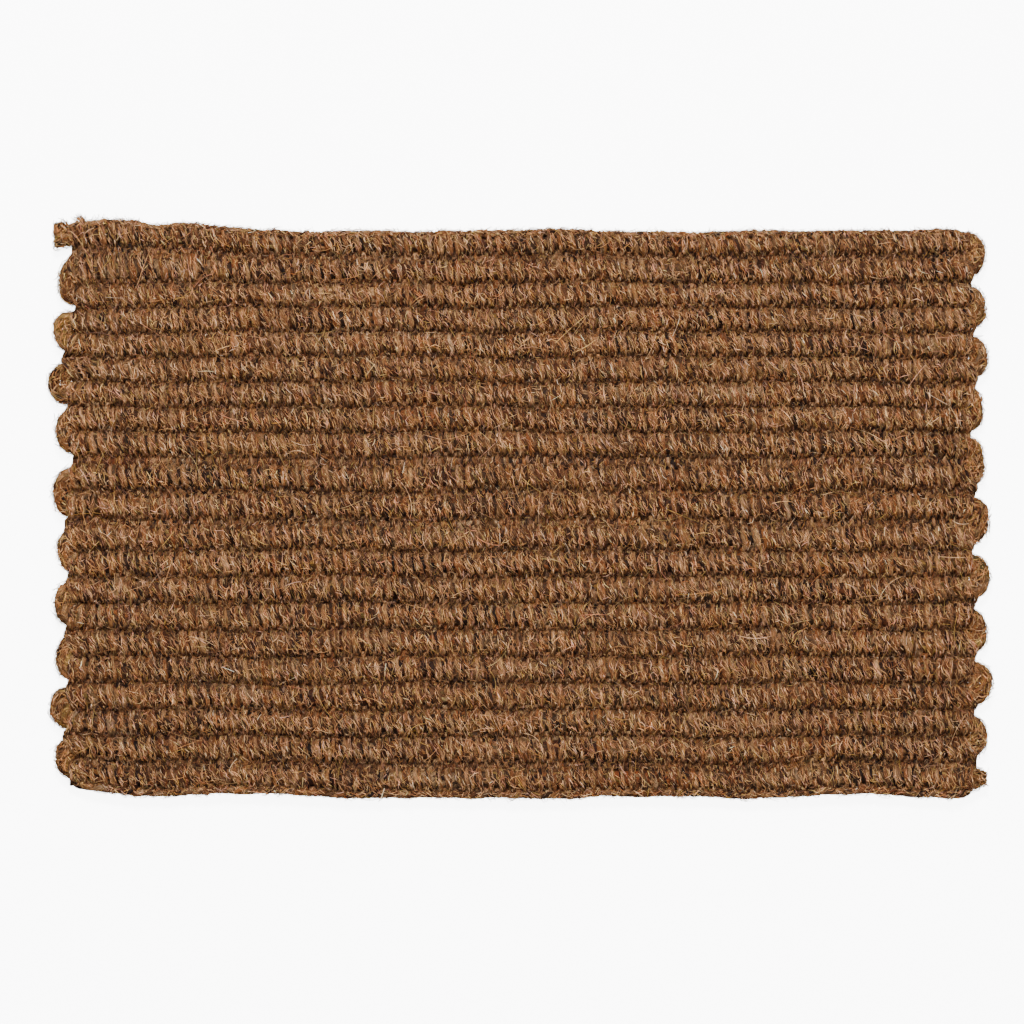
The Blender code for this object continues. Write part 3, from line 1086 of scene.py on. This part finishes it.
class COIR_OT_rope(bpy.types.Operator):
    """Lay the thick rope to and fro, with its bare turns and cut ends"""

    bl_idname = "coir.rope"
    bl_label = "Rib Rope"

    def execute(self, context):
        rng = np.random.default_rng(13)
        yarns, points = rope_strands()
        blocks = [core_block(rng, yarns, 7, ROPE_SHARES),
                  core_block(rng, rope_heart(), 8, CORE_SHARES)]
        piece = write_mesh("rope_yarns", blocks, material_named("coir_rope_yarn", streaks=True))
        place(piece, "coir_rib_rope", ROPE_NODE)
        coat = dressed(rng, rope_fibres(rng, yarns, points), ROPE_SHARES, groove_shaded=False)
        for half, sign in (("left", -1), ("right", 1)):
            piece = write_mesh(f"rope_fibres_{half}", [on_side(coat, sign)],
                               material_named("coir_fibre_rope"))
            place(piece, "coir_rib_rope")
        return {"FINISHED"}


class COIR_OT_picks(bpy.types.Operator):
    """Lay the thin picks in the grooves"""

    bl_idname = "coir.picks"
    bl_label = "Thin Picks"

    def execute(self, context):
        rng = np.random.default_rng(14)
        yarns = thin_picks(rng)
        cords = edge_cords(rng)
        blocks = [core_block(rng, strands, 8, CORE_SHARES) for strands in (yarns, cords)]
        piece = write_mesh("thin_picks", blocks, material_named("coir_pick_yarn", streaks=True))
        place(piece, "coir_binder", *PICK_NODES)
        for name, fibres, groove_shaded in (("edge_cord_fibres", cord_fibres(rng, cords), False),
                                    ("pick_fibres", pick_fibres(rng, yarns), True)):
            coat = dressed(rng, fibres, FACE_SHARES, groove_shaded)
            piece = write_mesh(name, [coat], material_named("coir_fibre_face"))
            place(piece, "coir_binder")
        return {"FINISHED"}


class COIR_OT_face_fibres(bpy.types.Operator):
    """Wrap the fibres round the yarns of the face, in pieces of a few ribs each"""

    bl_idname = "coir.face_fibres"
    bl_label = "Face Fibres"

    def execute(self, context):
        settings = context.scene.coir_fibres
        face = warp_set(np.random.default_rng(FACE_SEED), 1)
        back = warp_set(np.random.default_rng(BACK_SEED), -1)
        rng = np.random.default_rng(15)
        material = material_named("coir_fibre_face")
        bumps = dressed(rng, groove_fibres(rng, back, 4), FACE_SHARES)
        fuzz = dressed(rng, loose_hairs(rng, settings.face_fuzz, 1, **SHORT_HAIR), HAIR_SHARES)
        groups = np.array_split(np.arange(len(RIBS)), 9)
        for number, ribs in enumerate(groups, start=1):
            blocks = [dressed(rng, rib_fibres(rng, face, rib, settings.face_per_rib),
                              FACE_SHARES) for rib in ribs]
            blocks += [near_ribs(bumps, ribs), near_ribs(fuzz, ribs)]
            for half, sign in (("left", -1), ("right", 1)):
                piece = write_mesh(f"face_fibres_{number:02d}_{half}",
                                   [on_side(block, sign) for block in blocks], material)
                place(piece, "coir_face_warp")
        hairs = dressed(rng, loose_hairs(rng, settings.face_hairs, 1, **LONG_HAIR), HAIR_SHARES)
        tuft = dressed(rng, corner_tuft(rng), HAIR_SHARES)
        piece = write_mesh("face_hairs", [hairs, tuft], material)
        place(piece, "coir_face_warp")
        return {"FINISHED"}


class COIR_OT_back_fibres(bpy.types.Operator):
    """Wrap the fibres round the yarns of the back, one piece for each third"""

    bl_idname = "coir.back_fibres"
    bl_label = "Back Fibres"

    def execute(self, context):
        settings = context.scene.coir_fibres
        back = warp_set(np.random.default_rng(BACK_SEED), -1)
        rng = np.random.default_rng(16)
        material = material_named("coir_fibre_back")
        hairs = dressed(rng, loose_hairs(rng, settings.back_hairs, -1, **LONG_HAIR), HAIR_SHARES)
        for number, ribs in enumerate(np.array_split(np.arange(len(RIBS)), 3), start=1):
            blocks = [dressed(rng, rib_fibres(rng, back, rib, settings.back_per_rib),
                              FACE_SHARES) for rib in ribs]
            blocks.append(near_ribs(hairs, ribs))
            piece = write_mesh(f"back_fibres_{number:02d}", blocks, material)
            place(piece, "coir_back_warp")
        return {"FINISHED"}


def area_light(name, location, size, power):
    """A square light that shines at the middle of the mat."""
    data = bpy.data.lights.new(name, "AREA")
    data.size = size
    data.energy = power
    light = add_object(name, data, location)
    light.rotation_mode = "QUATERNION"
    light.rotation_quaternion = Vector(location).to_track_quat("Z", "Y")


FLOOR_HALF = 4.0
KEY_AT = (-0.12, 1.88, 3.1)
FILL_AT = (0.3, -0.6, 2.4)
CAMERA_AT = (-0.0072, -0.0011)    # the point straight below the camera


class COIR_OT_stage(bpy.types.Operator):
    """Set the white floor, the soft lights and the camera straight above"""

    bl_idname = "coir.stage"
    bl_label = "Stage"

    def execute(self, context):
        settings = context.scene.coir_stage
        scene = context.scene
        mesh = bpy.data.meshes.new("floor")
        corners = [(-1, -1), (1, -1), (1, 1), (-1, 1)]
        mesh.from_pydata([(x * FLOOR_HALF, y * FLOOR_HALF, 0) for x, y in corners], [],
                         [(0, 1, 2, 3)])
        material = bpy.data.materials.new("white_floor")
        material.use_nodes = True
        shader = material.node_tree.nodes["Principled BSDF"]
        shader.inputs["Base Color"].default_value = (0.9, 0.9, 0.9, 1)
        shader.inputs["Roughness"].default_value = 0.8
        shader.inputs["Emission Color"].default_value = (1, 1, 1, 1)
        shader.inputs["Emission Strength"].default_value = settings.floor_glow
        mesh.materials.append(material)
        floor = add_object("floor", mesh)
        floor.visible_diffuse = False
        floor.visible_glossy = False

        world = bpy.data.worlds.new("room")
        world.use_nodes = True
        background = world.node_tree.nodes["Background"]
        background.inputs["Color"].default_value = (1, 1, 1, 1)
        background.inputs["Strength"].default_value = settings.world_strength
        scene.world = world

        area_light("key_over_top_edge", KEY_AT, 0.65, settings.key_power)
        area_light("soft_overhead", FILL_AT, 2.0, settings.fill_power)

        data = bpy.data.cameras.new("camera")
        data.sensor_width = 36.0
        data.lens = data.sensor_width * settings.camera_height / settings.view_width
        data.clip_end = 20.0
        scene.camera = add_object("camera", data, (*CAMERA_AT, settings.camera_height))
        return {"FINISHED"}


class COIR_PT_mat(bpy.types.Panel):
    """Sidebar panel with every step of the mat"""

    bl_idname = "COIR_PT_mat"
    bl_label = "Coir Mat"
    bl_space_type = "VIEW_3D"
    bl_region_type = "UI"
    bl_category = "Coir Mat"

    def draw(self, context):
        for operator in OPERATORS:
            self.layout.operator(operator.bl_idname)
        for group, settings in SETTINGS.items():
            box = self.layout.box()
            for name in settings.__annotations__:
                box.prop(getattr(context.scene, group), name)


SETTINGS = {"coir_weave": CoirWeaveSettings, "coir_fibres": CoirFibreSettings,
            "coir_colours": CoirColourSettings, "coir_stage": CoirStageSettings}
OPERATORS = (COIR_OT_stage, COIR_OT_face_warp, COIR_OT_back_warp, COIR_OT_rope, COIR_OT_picks,
             COIR_OT_face_fibres, COIR_OT_back_fibres)


def register():
    """Makes the settings, the operators and the panel known."""
    for group in SETTINGS.values():
        bpy.utils.register_class(group)
    for name, group in SETTINGS.items():
        setattr(bpy.types.Scene, name, PointerProperty(type=group))
    for operator in OPERATORS:
        bpy.utils.register_class(operator)
    bpy.utils.register_class(COIR_PT_mat)


def unregister():
    """Takes them away again."""
    bpy.utils.unregister_class(COIR_PT_mat)
    for operator in reversed(OPERATORS):
        bpy.utils.unregister_class(operator)
    for name, group in reversed(SETTINGS.items()):
        delattr(bpy.types.Scene, name)
        bpy.utils.unregister_class(group)


def main():
    """Builds the mat and its stage."""
    register()
    bpy.ops.coir.stage()
    bpy.ops.coir.face_warp()
    bpy.ops.coir.back_warp()
    bpy.ops.coir.rope()
    bpy.ops.coir.picks()
    bpy.ops.coir.face_fibres()
    bpy.ops.coir.back_fibres()


if __name__ == "__main__":
    main()
